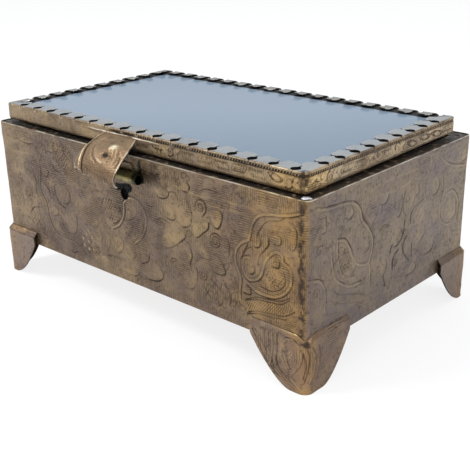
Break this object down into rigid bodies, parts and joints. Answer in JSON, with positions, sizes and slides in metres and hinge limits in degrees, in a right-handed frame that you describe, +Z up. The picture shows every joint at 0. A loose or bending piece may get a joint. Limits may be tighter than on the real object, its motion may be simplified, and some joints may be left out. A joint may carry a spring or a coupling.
{
  "type": "glass casket box",
  "caption": "Footed keepsake casket of embossed brass sheet, with a hinged glass lid held by folded tabs, a sprung latch tongue and a velvet lining.",
  "frame": {"origin": "middle of the whole footprint, latch tongue included, on the surface that the feet stand on", "axes": "+X runs along the front from left to right, +Y from the latch at the front to the hinges at the back, +Z up"},
  "size_m": [0.1672, 0.1146, 0.075],
  "materials": {
    "embossed_brass": "antiqued, stamped with flowers and scrolls, dark in the recesses",
    "plain_brass": "plain sheet, aged brown",
    "clean_brass": "plain sheet, rubbed clean by handling",
    "solder": "soft solder, run smooth, dull grey",
    "velvet": "short pile velvet over board",
    "pane": "clear, ground edges"
  },
  "bodies": {
    "box": {"front_wall": "embossed_brass", "back_wall": "embossed_brass", "left_wall": "embossed_brass", "right_wall": "embossed_brass", "ledge_front": "plain_brass", "ledge_back": "plain_brass", "ledge_left": "plain_brass", "ledge_right": "plain_brass", "ledge_solder": "solder", "floor_plate": "plain_brass", "foot_front_left": "embossed_brass", "foot_front_right": "embossed_brass", "foot_back_left": "embossed_brass", "foot_back_right": "embossed_brass", "latch_keeper": "plain_brass", "liner_floor": "velvet", "liner_front": "velvet", "liner_back": "velvet", "liner_left": "velvet", "liner_right": "velvet", "hinge_leaf_left": "plain_brass", "hinge_leaf_right": "plain_brass", "hinge_pin_left": "plain_brass", "hinge_pin_right": "plain_brass"},
    "lid": {"bezel_front": "embossed_brass", "bezel_back": "embossed_brass", "bezel_left": "embossed_brass", "bezel_right": "embossed_brass", "bearer_front": "plain_brass", "bearer_back": "plain_brass", "bearer_left": "plain_brass", "bearer_right": "plain_brass", "glass_pane": "pane", "latch_tongue": "clean_brass", "lid_leaf_left": "plain_brass", "lid_leaf_right": "plain_brass"}
  },
  "joints": [
    {"name": "lid_hinge", "type": "hinge", "parent": "box", "child": "lid", "pos_m": [-0.0005, 0.05187, 0.06915], "axis": [-1, 0, 0], "range_deg": [0, 120]}
  ]
}
